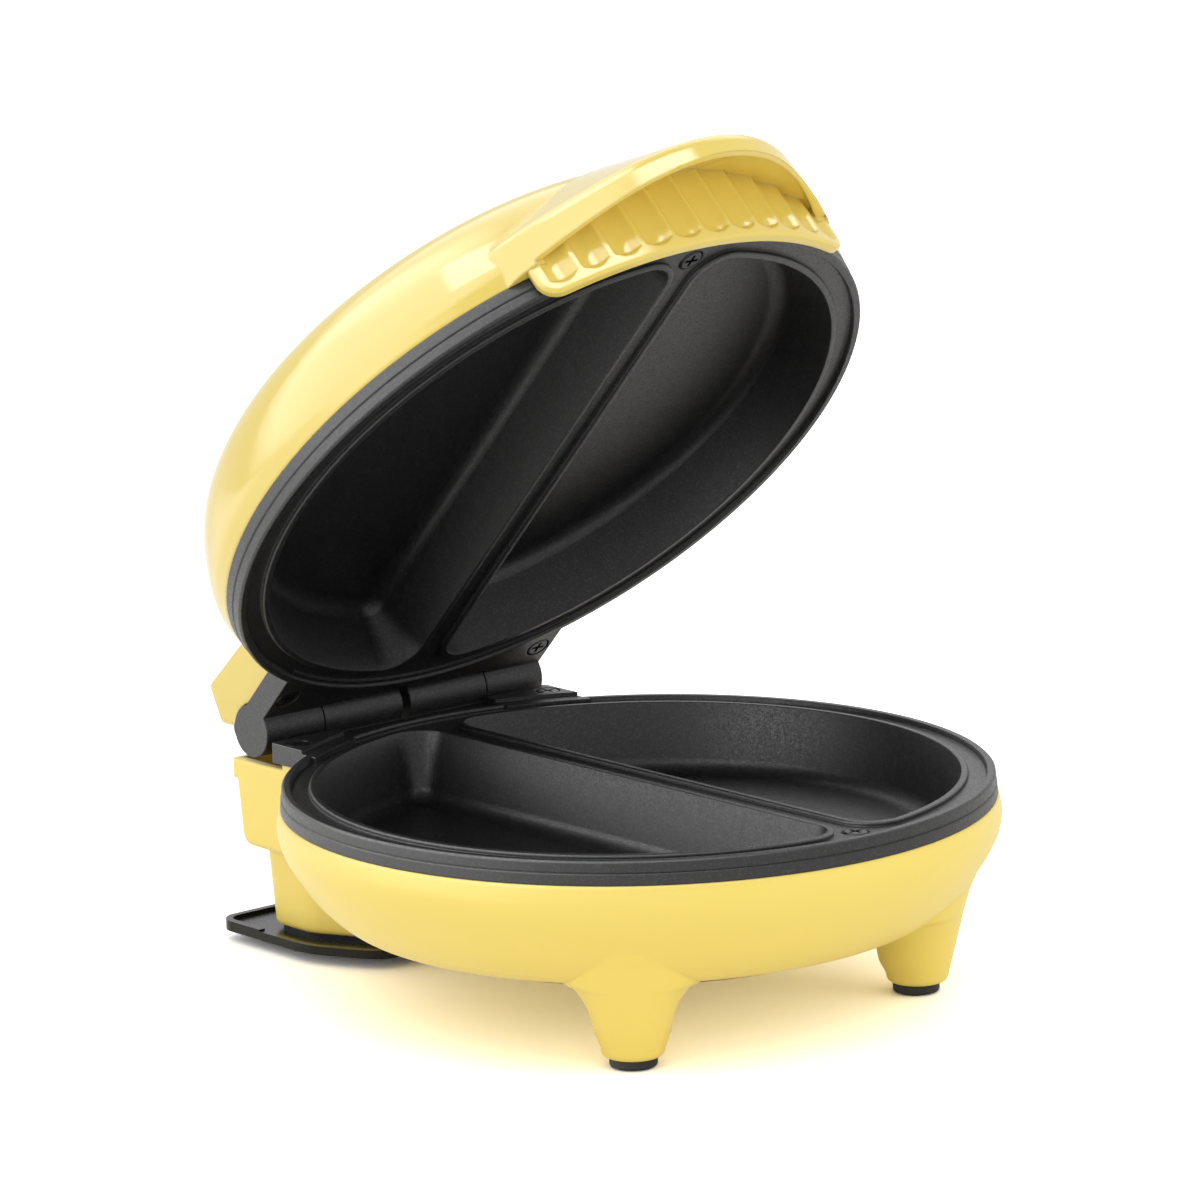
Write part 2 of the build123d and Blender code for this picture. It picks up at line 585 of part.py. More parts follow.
# Stand bosses and cord inlet
for x in (-STAND_SCREW_X, STAND_SCREW_X):
    base = base + post(x, STAND_SCREW_Y, STAND_BOSS_Z, HOUSING_Z + SHELL_WALL, BOSS_R)
    tie = between(x - 1, x + 1, STAND_SCREW_Y, PEDESTAL_REAR - 1.6, HOUSING_Z - 6, HOUSING_Z + SHELL_WALL)
    base = base + tie - post(x, STAND_SCREW_Y, STAND_BOSS_Z - 1, STAND_BOSS_Z + SCREW_L, SCREW_R)


def along_y(x, z, y0, y1, radius):
    return Pos(x, (y0 + y1) / 2, z) * Rot(90, 0, 0) * Cylinder(radius, y1 - y0)


inlet_y = HOUSING_REAR - HOUSING_DRAFT - SHELL_WALL - 1
base = base + along_y(0, GLAND_Z, inlet_y, GLAND_Y, GLAND_FLANGE_R + 0.6)
base = base - between(-HOUSING_HALF + RECESS_WALL, HOUSING_HALF - RECESS_WALL, RECESS_Y,
                      HOUSING_REAR - RECESS_WALL, RECESS_Z, RIM_Z + 1)
base = base - along_y(0, GLAND_Z, inlet_y - 5, GLAND_Y + 1, GLAND_R)
cord_gland = along_y(0, GLAND_Z, inlet_y - 2, GLAND_Y, GLAND_R)
cord_gland = cord_gland + along_y(0, GLAND_Z, GLAND_Y, GLAND_Y + GLAND_FLANGE_T, GLAND_FLANGE_R)
cord_gland = soft(cord_gland, lambda s: s.edges().group_by(Axis.Y)[-1], [0.9, 0.5])
cord_gland = cord_gland - along_y(0, GLAND_Z, inlet_y - 5, GLAND_Y + 5, GLAND_BORE_R)

# Vent slots through the bowl floor
vent_face = Pos(0, VENT_Y, BOWL_Z - 1) * SlotOverall(VENT_L, VENT_W, rotation=90)
vent = extrude(vent_face, amount=SHELL_WALL + 1.5)
for i in range(VENTS):
    base = base - Pos((i - (VENTS - 1) / 2) * VENT_PITCH, 0, 0) * vent
base_shell = base

# Cord-wrap stand under the pedestal
stand_face = tongue(STAND_HALF, STAND_REAR, STAND_WAIST, STAND_FRONT,
                    STAND_CORNER_R, STAND_WAIST_R, STAND_NOSE_R)
stand = extrude(Pos(0, 0, STAND_Z) * stand_face, amount=STAND_T)
rim_face = Pos(0, 0, STAND_Z) * (stand_face - offset(stand_face, -STAND_LIP_W))
lip = extrude(rim_face, amount=STAND_T + STAND_LIP_H)
high = extrude(rim_face, amount=STAND_T + STAND_LIP_H + STAND_LIP_REAR)
rear_part = between(-STAND_HALF, STAND_HALF, STAND_LIP_FROM, STAND_REAR, STAND_Z, HOUSING_Z)
stand = stand + lip + (high & rear_part)
step = between(-STAND_HALF, STAND_HALF, STAND_FRONT, STAND_REAR, STAND_Z, PEDESTAL_Z)
stand = stand + (pedestal_solid(STAND_PAD_IN, STAND_Z, HOUSING_Z + 1.0) & step)
key = pedestal_solid(SHELL_WALL + STAND_KEY_CLEAR, STAND_Z, HOUSING_Z)
key = key & between(-STAND_HALF, STAND_HALF, STAND_FRONT, STAND_REAR, STAND_Z, PEDESTAL_Z + STAND_KEY_H)
stand = stand + (key - pedestal_solid(SHELL_WALL + 2.4, STAND_Z - 1, HOUSING_Z))
stand_screws = []
for x in (-STAND_SCREW_X, STAND_SCREW_X):
    stand = stand + post(x, STAND_SCREW_Y, STAND_Z, STAND_BOSS_Z, HEAD_R + 2)
    stand = stand - post(x, STAND_SCREW_Y, STAND_Z - 1, STAND_BOSS_Z + 1, SCREW_R + HOLE_CLEAR)
    stand = stand - post(x, STAND_SCREW_Y, STAND_Z - 1, STAND_Z + HEAD_H + 0.2, HEAD_R + HOLE_CLEAR)
    flat = mirror(screw(x, STAND_SCREW_Y, 0, SCREW_L * 0.8), about=Plane.XY)
    stand_screws.append(Pos(0, 0, STAND_Z + HEAD_H + 0.2) * flat)
for x in (-REAR_PAD_X, REAR_PAD_X):
    stand = stand - post(x, REAR_PAD_Y, STAND_Z - 1, STAND_Z + REAR_PAD_SEAT, PAD_R)
cord_stand = stand
stand_screws = Compound(stand_screws)


def rear_pad(x):
    pad = post(x, REAR_PAD_Y, 0, STAND_Z + REAR_PAD_SEAT, PAD_R)
    return soft(pad, lambda s: s.edges().group_by(Axis.Z)[0], [0.8, 0.4])


def foot_pad(x):
    pad = post(x, -LEG_Y, 0, PAD_SHOW + PAD_SEAT, PAD_R)
    return soft(pad, lambda s: s.edges().group_by(Axis.Z)[0], [0.8, 0.4])


# Parts under the lower plate
thermo_x = WELL_R * 0.26
thermostat = post(-thermo_x, thermo_x, WELL_BACK_Z - THERMO_H, WELL_BACK_Z, THERMO_R)
cap_z = WELL_BACK_Z - THERMO_H * 1.6
thermostat = thermostat + post(-thermo_x, thermo_x, cap_z, WELL_BACK_Z - THERMO_H, THERMO_R * 0.6)
fuse_x = thermo_x - FUSE_L * 0.4
thermal_fuse = across(thermo_x, WELL_BACK_Z - FUSE_R, fuse_x, fuse_x + FUSE_L, FUSE_R)
block_y = HOUSING_REAR - HOUSING_DRAFT - SHELL_WALL
block_z = CEILING_Z - BLOCK_CLEAR
terminal_block = between(BLOCK_X - BLOCK_W / 2, BLOCK_X + BLOCK_W / 2, block_y - BLOCK_D, block_y,
                         block_z - BLOCK_H, block_z)
for x in (BLOCK_X - BLOCK_PITCH / 2, BLOCK_X + BLOCK_PITCH / 2):
    hole = post(x, block_y - BLOCK_D / 2, block_z - BLOCK_H * 0.55, block_z + 1, BLOCK_HOLE_R)
    terminal_block = terminal_block - hole

# Lid shell: dome, front grip with flutes, handle hood and rear tab in one moulding
dome_out = skin(DOME_SHAPE, LID_RIM_Z, DOME_H, 0)
dome_in = skin(DOME_SHAPE, LID_RIM_Z, DOME_H, SHELL_WALL)
dome_out = soft(dome_out, lambda s: s.faces().sort_by(Axis.Z)[0].edges(), [0.9, 0.5])


# Outline of the handle in plan: a parabola from end to end, closed by a chord inside the dome
def lip_face(reach, half, end_y, z):
    pts = []
    for i in range(-4, 5):
        x = half * i / 4
        pts.append((x, -(reach - (reach - end_y) * (i / 4) ** 2), z))
    curve = Spline(*pts)
    chord = Polyline(curve @ 1, (half * 0.5, -end_y * 0.8, z), (-half * 0.5, -end_y * 0.8, z), curve @ 0)
    return make_face(Wire(list(curve.edges()) + list(chord.edges())))


# The outer outline runs on past the lip's ends and dies into the dome
def hood_face(shrink, z):
    reach = LIP_REACH + LIP_EDGE
    pts = []
    for i in range(-3, 4):
        x = LIP_HALF * i / 4
        pts.append((x, -(reach - (LIP_REACH - LIP_END_Y) * (i / 4) ** 2)))
    tail = []
    for a, out in HOOD_TAIL:
        r = SHELL_R + out
        tail.append((r * sin(radians(a)), -r * cos(radians(a))))
    pts = [(-x, y) for x, y in reversed(tail)] + pts + tail
    side = 1 - 0.12 * shrink / reach
    pts = [(x * side, y + shrink, z) for x, y in pts]
    curve = Spline(*pts)
    back = pts[0][1] + PLATE_R * 0.27
    chord = Polyline(curve @ 1, (pts[-1][0] * 0.6, back, z), (pts[0][0] * 0.6, back, z), curve @ 0)
    return make_face(Wire(list(curve.edges()) + list(chord.edges())))


hood = extrude(hood_face(0, LID_RIM_Z), amount=LIP_TOP - LID_RIM_Z)
hood = hood + loft([hood_face(0, LIP_TOP), hood_face(HOOD_RUN, LIP_TOP + HOOD_RISE)], ruled=True)


def lip_corner(s):
    return [e for e in s.edges() if abs(e.center().Z - LIP_TOP) < 0.2 and e.center().Y < -LIP_REACH * 0.8]


hood = soft(hood, lip_corner, [3.6, 2.5, 1.5])


def grip_sector(r0, r1, z0, z1):
    wire = Polyline((r0, 0, z0), (r1, 0, z0), (r1, 0, z1), (r0, 0, z1), close=True)
    return Rot(0, 0, -90 - GRIP_ANGLE) * revolve(make_face(wire), Axis.Z, 2 * GRIP_ANGLE)


grip = grip_sector(GRIP_IN, GRIP_R, GRIP_Z, LIP_Z)
grip_top = grip_sector(PLATE_R - 1, GRIP_R, LID_RIM_Z + 2, DOME_Z)


def grip_corners(s):
    low = s.faces().sort_by(Axis.Z)[0].edges()
    return [e for e in low if e.length < GRIP_R * 0.1]


def grip_front(s):
    low = s.faces().sort_by(Axis.Z)[0].edges()
    return [e for e in low if e.length > 20 and abs(e.center().Y) > PLATE_R]


grip = soft(grip, grip_corners, [GRIP_CORNER_R, GRIP_CORNER_R * 0.6])
grip = soft(grip, grip_front, [0.9, 0.5])
grip = grip + (grip_top & hood)
pitch = 2 * (GRIP_ANGLE - FLUTE_MARGIN) / FLUTES
for i in range(FLUTES):
    a = -90 - GRIP_ANGLE + FLUTE_MARGIN + pitch * (i + 0.5)
    r = GRIP_R - FLUTE_DEPTH + FLUTE_R
    z0 = GRIP_Z + FLUTE_START
    end = Pos(0, 0, z0 - FLUTE_RUN / 2) * Cone(FLUTE_R - FLUTE_DEPTH - 0.3, FLUTE_R, FLUTE_RUN)
    cutter = end + Pos(0, 0, (z0 + DOME_Z) / 2) * Cylinder(FLUTE_R, DOME_Z - z0)
    grip = grip - Pos(r * cos(radians(a)), r * sin(radians(a)), 0) * cutter
pocket = extrude(lip_face(LIP_REACH, LIP_HALF, LIP_END_Y, LID_RIM_Z - 5), amount=LIP_Z - LID_RIM_Z + 5)
pocket_low = lip_face(LIP_REACH, LIP_HALF, LIP_END_Y, LIP_Z)
pocket_high = lip_face(LIP_REACH - HOOD_RUN, LIP_HALF * 0.9, LIP_END_Y - HOOD_RUN, LIP_Z + HOOD_RISE)
pocket = pocket + loft([pocket_low, pocket_high], ruled=True)
ARCH_HALF = LIP_HALF + 3
ARCH_Z = LIP_Z - LIP_ARCH
bow = ThreePointArc((-ARCH_HALF, 0, ARCH_Z), (0, 0, LIP_Z), (ARCH_HALF, 0, ARCH_Z))
legs = Polyline((ARCH_HALF, 0, ARCH_Z), (ARCH_HALF, 0, LID_RIM_Z - 5), (-ARCH_HALF, 0, LID_RIM_Z - 5),
                (-ARCH_HALF, 0, ARCH_Z))
arch = extrude(make_face(Wire(list(bow.edges()) + list(legs.edges()))), amount=LIP_REACH * 2, dir=(0, -1, 0))
arch = arch & between(-LIP_REACH, LIP_REACH, -LIP_REACH * 2, -LIP_END_Y, 0, DOME_Z)
hood = hood - pocket - arch


def lip_low(s):
    near = [e for e in s.edges() if ARCH_Z - 1 < e.center().Z < LIP_Z + 0.5]
    return [e for e in near if e.center().Y < -LIP_END_Y - 2 and e.length > LIP_HALF * 0.3]


hood = soft(hood, lip_low, [LIP_LOW_R, LIP_LOW_R * 0.6, LIP_LOW_R * 0.35])

tab = side_profile([(front_y, TAB_Z), (HINGE_Y + KNUCKLE_R - 0.3, TAB_Z), (TAB_REAR, TAB_Z + 4.8),
                    (TAB_REAR - TAB_LEAN, TAB_TOP), (front_y, TAB_TOP - TAB_RISE)], HOUSING_HALF)


def tab_edges(s):
    picked = []
    for e in s.edges():
        c = e.center()
        side = abs(c.X) > HOUSING_HALF - 0.1 and c.Z > TAB_TOP - TAB_RISE
        if c.Y > HINGE_Y + 4 or side:
            picked.append(e)
    return picked


tab = soft(tab, tab_edges, [TAB_EDGE_R, TAB_EDGE_R * 0.7, TAB_EDGE_R * 0.4])
lid = dome_out + hood + grip + tab - dome_in
tab_floor = HINGE_Z + KNUCKLE_R + KNUCKLE_CLEAR + SHELL_WALL * 0.75
tab_in = side_profile([(front_y - 2, TAB_Z + SHELL_WALL), (HINGE_Y - KNUCKLE_R * 1.3, TAB_Z + SHELL_WALL),
                       (HINGE_Y - KNUCKLE_R * 0.5, tab_floor), (HINGE_Y + KNUCKLE_R * 0.6, tab_floor),
                       (TAB_REAR - SHELL_WALL - 0.4, TAB_Z + 6),
                       (TAB_REAR - TAB_LEAN - SHELL_WALL, TAB_TOP - SHELL_WALL),
                       (front_y - 2, TAB_TOP - TAB_RISE - SHELL_WALL)], HOUSING_HALF - SHELL_WALL)
lid = lid - tab_in
lid = lid - between(-HINGE_HALF - 0.4, HINGE_HALF + 0.4, PLATE_R * 0.6, TAB_REAR + 1, LID_RIM_Z - 20, TAB_Z)
lid = lid - across(HINGE_Y, HINGE_Z, -HINGE_HALF - 0.4, HINGE_HALF + 0.4, KNUCKLE_R + KNUCKLE_CLEAR)

# Bosses inside the lid
lid_bosses = post(0, -FRONT_SCREW_Y, LID_FLANGE_Z + FRONT_PAD_T, DOME_Z, BOSS_R)
for x, y in SHIELD_POSTS:
    lid_bosses = lid_bosses + post(x, y, LID_SHIELD_Z, DOME_Z - 1, SHIELD_POST_R)
for x in (-LENS_X * 2.2, LENS_X * 2.2):
    lid_bosses = lid_bosses + post(x, -LENS_Y, LENS_Z, DOME_Z, 2.2)
lid_hold = post(0, 0, LID_FLANGE_Z, LID_RIM_Z + 1, SHELL_R - SHELL_WALL - SKIRT_WALL - 1.0)
lid = lid + (lid_bosses & (dome_out + lid_hold))
for x in (-EAR_SCREW_X, EAR_SCREW_X):
    boss = post(x, EAR_SCREW_Y, TAB_Z, TAB_TOP - TAB_RISE, BOSS_R)
    lid = lid + (boss & between(-HOUSING_HALF, HOUSING_HALF, front_y, TAB_REAR, TAB_Z, TAB_TOP))
    lid = lid - post(x, EAR_SCREW_Y, LID_RIM_Z - 1, 2 * PARTING_Z - EAR_Z + HEAD_H + SCREW_L, SCREW_R)
lid = lid - post(0, -FRONT_SCREW_Y, LID_FLANGE_Z - 1, 2 * PARTING_Z - FRONT_SEAT_Z + SCREW_L, SCREW_R)
for x in (-LENS_X, LENS_X):
    lid = lid - post(x, -LENS_Y, LENS_Z, DOME_Z + 5, LENS_R)
lid_shell = lid
lamp_board = between(-LENS_X * 2.6, LENS_X * 2.6, -LENS_Y - 6, -LENS_Y + 6, LENS_Z - BOARD_T, LENS_Z)


def lens(x):
    top = DOME_Z - DOME_H * 0.02 + LENS_PROUD
    body = post(x, -LENS_Y, LENS_Z, top, LENS_R)
    return soft(body, lambda s: s.edges().group_by(Axis.Z)[-1], [1.6, 0.8])


# Nodes of the two bodies; the lid is modelled closed and turned open about the hinge
base_nodes = {
    "base_shell": base_shell, "lower_plate": lower_plate, "lower_plate_screws": lower_screws,
    "hinge_pin": hinge_pin, "lower_element": lower_element, "lower_clamp": lower_clamp,
    "lower_clamp_screw": lower_clamp_screw, "lower_shield": lower_shield, "thermostat": thermostat,
    "thermal_fuse": thermal_fuse, "terminal_block": terminal_block, "cord_gland": cord_gland,
    "cord_stand": cord_stand, "stand_screws": stand_screws,
    "foot_pad_left": foot_pad(-LEG_X), "foot_pad_right": foot_pad(LEG_X),
    "rear_pad_left": rear_pad(-REAR_PAD_X), "rear_pad_right": rear_pad(REAR_PAD_X),
}
lid_nodes = {
    "lid_shell": lid_shell, "upper_plate": upper_plate, "upper_plate_screws": upper_screws,
    "upper_element": upper(lower_element), "upper_clamp": upper(lower_clamp),
    "upper_clamp_screw": upper(lower_clamp_screw), "upper_shield": upper(lower_shield),
    "lamp_board": lamp_board, "power_lens": lens(-LENS_X), "ready_lens": lens(LENS_X),
}
for name in lid_nodes:
    lid_nodes[name] = lid_nodes[name].rotate(HINGE_AXIS, LID_OPEN)
nodes = {**base_nodes, **lid_nodes}
boxes = [shape.bounding_box() for shape in nodes.values()]
MIDDLE_Y = (min(b.min.Y for b in boxes) + max(b.max.Y for b in boxes)) / 2

os.makedirs("parts", exist_ok=True)
for name, shape in nodes.items():
    export_step(Pos(0, -MIDDLE_Y, 0) * shape, "parts/" + name + ".step")
print("middle", round(MIDDLE_Y, 4), "height", round(max(b.max.Z for b in boxes), 3))
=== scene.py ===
"""Looks for a small two-well omelette maker: finishes for its CAD nodes, lamp bezels and a plain studio."""

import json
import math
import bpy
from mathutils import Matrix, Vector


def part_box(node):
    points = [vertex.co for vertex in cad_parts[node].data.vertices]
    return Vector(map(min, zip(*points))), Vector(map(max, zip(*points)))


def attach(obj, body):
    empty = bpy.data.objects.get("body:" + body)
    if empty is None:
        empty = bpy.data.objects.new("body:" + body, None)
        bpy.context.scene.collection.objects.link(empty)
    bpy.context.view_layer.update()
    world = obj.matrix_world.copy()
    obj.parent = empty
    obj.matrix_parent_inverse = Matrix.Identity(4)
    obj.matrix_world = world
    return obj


bl_info = {
    "name": "Omelette maker looks",
    "version": (1, 0, 0),
    "blender": (4, 5, 0),
    "location": "View3D > Sidebar > Omelette maker",
    "description": "Finishes, lamp bezels and a studio for a small omelette maker",
    "category": "Object",
}

import bpy
import numpy as np
from bpy.props import FloatProperty, FloatVectorProperty, PointerProperty
from mathutils import Matrix, Vector

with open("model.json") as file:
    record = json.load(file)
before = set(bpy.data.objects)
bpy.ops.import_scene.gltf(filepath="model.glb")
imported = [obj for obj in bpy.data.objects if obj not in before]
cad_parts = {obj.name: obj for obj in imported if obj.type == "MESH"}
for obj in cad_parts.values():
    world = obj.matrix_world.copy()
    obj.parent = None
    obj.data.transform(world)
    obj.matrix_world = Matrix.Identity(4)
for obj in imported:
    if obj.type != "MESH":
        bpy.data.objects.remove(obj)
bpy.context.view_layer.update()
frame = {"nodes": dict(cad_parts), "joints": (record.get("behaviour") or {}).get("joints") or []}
NODES = frame["nodes"]
HINGE = frame["joints"][0]
MM = 0.001

# Middle of the lower plate, which is this far in front of the hinge pin and this high
HINGE_BACK = 104.3 * MM
PLATE_HEIGHT = 60.0 * MM
PLATE_MIDDLE = Vector((0.0, HINGE["pos_m"][1] - HINGE_BACK, PLATE_HEIGHT))

# The line of sight passes the plate's middle this far to the left of it and above it
SIGHT_LEFT = 10.069 * MM
SIGHT_UP = 44.333 * MM
SENSOR_WIDTH = 36.0
SIGHT_END = 50.0

# Patterns that are wider than the mould's grain, in millimetres
DRIFT_WIDTH = 70.0
HANDLED_WIDTH = 22.0
SPRAY_WIDTH = 1.1
CLOUD_WIDTH = 3.0
FIBRE_WIDTH = 3.0

ABS_IOR = 1.53
COAT_IOR = 1.55
LENS_IOR = 1.58

# Points round a bezel and round its section
BEZEL_AROUND = 64
BEZEL_SECTION = 16

# The paper floor reaches this far from the middle, and lies just under the pads
FLOOR_REACH = 4.0
FLOOR_POINTS = 9
FLOOR_LEVEL = -0.0002

# Lights face one of two points: the part, or a point above the paper sweep to the left of it
PART_AIM = Vector((0.0, 0.0, 0.1))
SWEEP_AIM = Vector((-1.42, 0.5, 0.9))

# Softboxes: name, power setting, azimuth and elevation in degrees, distance and size in metres, aim
SOFTBOXES = (
    ("Top softbox", "top", (-80, 68), 1.5, (0.8, 0.8), PART_AIM),
    ("Front softbox", "front", (-40, 6), 1.7, (1.0, 0.5), PART_AIM),
    ("Left softbox", "left", (-112, 5), 1.7, (1.0, 0.5), PART_AIM),
    ("Right fill", "right", (25, 14), 1.7, (1.0, 0.5), PART_AIM),
)

# Cards in the gloss: the same with a glow setting, then whether the card dims towards its edges
CARDS = (
    ("Window card", "window", (-124, 71), 1.3, (0.52, 0.38), PART_AIM, False),
    ("Crest card", "crest", (-8, 74), 1.4, (0.95, 0.34), PART_AIM, True),
    ("Silk card", "silk", (-116, 38), 1.6, (3.4, 3.0), PART_AIM, True),
    ("Sweep card", "sweep", (0, -90), 0.89, (2.9, 1.8), SWEEP_AIM, True),
    ("Back card", "behind", (156, 50), 1.6, (3.0, 1.5), PART_AIM, True),
)
FADE = 5.6


def linear(code):
    """Turns an sRGB hex colour to linear RGB: c / 12.92 where dark, else ((c + 0.055) / 1.055) ** 2.4."""
    c = np.array([int(code[i:i + 2], 16) for i in (1, 3, 5)]) / 255.0
    return tuple(np.where(c <= 0.04045, c / 12.92, ((c + 0.055) / 1.055) ** 2.4))


def rgba(colour):
    return (*colour, 1.0)


def per_mm(size):
    """Texture scale, in cycles per metre, of a pattern whose cell is this many millimetres wide."""
    return 1.0 / (size * MM)


def add(tree, kind, settings=None, links=None):
    """Adds a node. Settings go to its sockets or its properties, links join other outputs to its inputs."""
    made = tree.nodes.new(kind)
    for key, value in (settings or {}).items():
        if isinstance(key, int) or key in made.inputs:
            made.inputs[key].default_value = value
        else:
            setattr(made, key, value)
    for key, source in (links or {}).items():
        tree.links.new(source, made.inputs[key])
    return made


def blank(name):
    """A new material with an empty node tree and its Object coordinates."""
    material = bpy.data.materials.new(name)
    material.use_nodes = True
    tree = material.node_tree
    tree.nodes.clear()
    place = add(tree, "ShaderNodeTexCoord").outputs["Object"]
    return material, tree, place


def finish(tree, shader):
    add(tree, "ShaderNodeOutputMaterial", links={"Surface": shader.outputs[0]})


def seen(tree):
    """Two switches for rays that show the stage: from the camera, and off a gloss or through a lens."""
    path = add(tree, "ShaderNodeLightPath")
    mirror = add(tree, "ShaderNodeMath", {"operation": "MAXIMUM"},
                 {0: path.outputs["Is Glossy Ray"], 1: path.outputs["Is Transmission Ray"]})
    return path.outputs["Is Camera Ray"], mirror.outputs[0]


def wear(material, *names):
    """Puts one material on the named CAD nodes."""
    for name in names:
        mesh = NODES[name].data
        mesh.materials.clear()
        mesh.materials.append(material)


class ShellLook(bpy.types.PropertyGroup):
    """Pigment and mould finish of the lid and the base"""
    lid_yellow: FloatVectorProperty(
        name="Lid yellow", description="Pigment seen through the polished skin of the lid",
        subtype="COLOR", size=3, min=0.0, max=1.0, default=linear("#E9D169"))
    lid_deep: FloatVectorProperty(
        name="Lid deep yellow", description="Slow drift of the lid's pigment",
        subtype="COLOR", size=3, min=0.0, max=1.0, default=linear("#E6CC60"))
    base_yellow: FloatVectorProperty(
        name="Base yellow", description="Pigment of the satin base",
        subtype="COLOR", size=3, min=0.0, max=1.0, default=linear("#F4DB6E"))
    base_deep: FloatVectorProperty(
        name="Base deep yellow", description="Slow drift of the base's pigment",
        subtype="COLOR", size=3, min=0.0, max=1.0, default=linear("#F1D664"))
    lid_roughness: FloatProperty(
        name="Lid roughness", description="Polished mould", default=0.1, min=0.0, max=1.0,
        subtype="FACTOR")
    base_roughness: FloatProperty(
        name="Base roughness", description="Satin mould", default=0.36, min=0.0, max=1.0,
        subtype="FACTOR")
    grain: FloatProperty(
        name="Mould grain (mm)", description="Width of the satin mould's grain", default=0.7,
        min=0.1, max=5.0)
    lid_edge: FloatProperty(
        name="Lid edge", description="Rounding that the polish leaves on the lid's edges",
        default=1.0 * MM, min=0.0, max=5 * MM, unit="LENGTH")
    base_edge: FloatProperty(
        name="Base edge", description="Rounding on the base's edges",
        default=2.0 * MM, min=0.0, max=5 * MM, unit="LENGTH")
    ripple: FloatProperty(
        name="Gloss ripple (mm)", description="Width of the faint ripple in the gloss", default=7.0,
        min=1.0, max=50.0)


class PlateLook(bpy.types.PropertyGroup):
    """Coat of the two cooking plates"""
    coat: FloatVectorProperty(
        name="Coat", description="Non-stick coat",
        subtype="COLOR", size=3, min=0.0, max=1.0, default=linear("#0C0C0D"))
    # colour of the mineral flakes, which also carries their painted sparkle
    flake_and_glint: FloatVectorProperty(
        name="Flake", description="Mineral flakes in the coat",
        subtype="COLOR", size=3, min=0.0, max=1.0, default=linear("#5A5C60"))
    roughness: FloatProperty(
        name="Coat roughness", description="Sprayed and baked coat", default=0.43, min=0.0, max=1.0,
        subtype="FACTOR")
    edge: FloatProperty(
        name="Edge", description="Rounding that the coat leaves on the casting's edges",
        default=0.6 * MM, min=0.0, max=5 * MM, unit="LENGTH")
    flake_size: FloatProperty(
        name="Flake size (mm)", description="Width of one flake's cell", default=0.4,
        min=0.1, max=3.0)


class TrimLook(bpy.types.PropertyGroup):
    """Colours of the dark small parts"""
    stand: FloatVectorProperty(
        name="Stand", description="Cord stand plastic",
        subtype="COLOR", size=3, min=0.0, max=1.0, default=linear("#111113"))
    rubber: FloatVectorProperty(
        name="Rubber", description="Feet and cord inlet",
        subtype="COLOR", size=3, min=0.0, max=1.0, default=linear("#1C1C1C"))
    screw: FloatVectorProperty(
        name="Screws", description="Blackened screws",
        subtype="COLOR", size=3, min=0.0, max=1.0, default=linear("#3A3A3C"))


class LampLook(bpy.types.PropertyGroup):
    """Lenses of the two lamps on the lid and the rings round them"""
    power: FloatVectorProperty(
        name="Power lamp", description="Colour of the power lens",
        subtype="COLOR", size=3, min=0.0, max=1.0, default=linear("#C8201A"))
    ready: FloatVectorProperty(
        name="Ready lamp", description="Colour of the ready lens",
        subtype="COLOR", size=3, min=0.0, max=1.0, default=linear("#2E9A48"))
    bezel: FloatProperty(
        name="Bezel radius", description="Middle of the bezel's section",
        default=4.5 * MM, min=1 * MM, max=20 * MM, unit="LENGTH")
    bezel_width: FloatProperty(
        name="Bezel width", description="Width of the bezel's section",
        default=1.4 * MM, min=0.2 * MM, max=10 * MM, unit="LENGTH")
    bezel_seat: FloatProperty(
        name="Bezel seat", description="From the middle of a lens out to the dome's skin",
        default=2.0 * MM, min=-5 * MM, max=5 * MM, unit="LENGTH")
    dome_fall: FloatProperty(
        name="Dome fall", description="Slope of the dome where the lamps are",
        default=0.0055, min=-0.5, max=0.5, subtype="ANGLE")


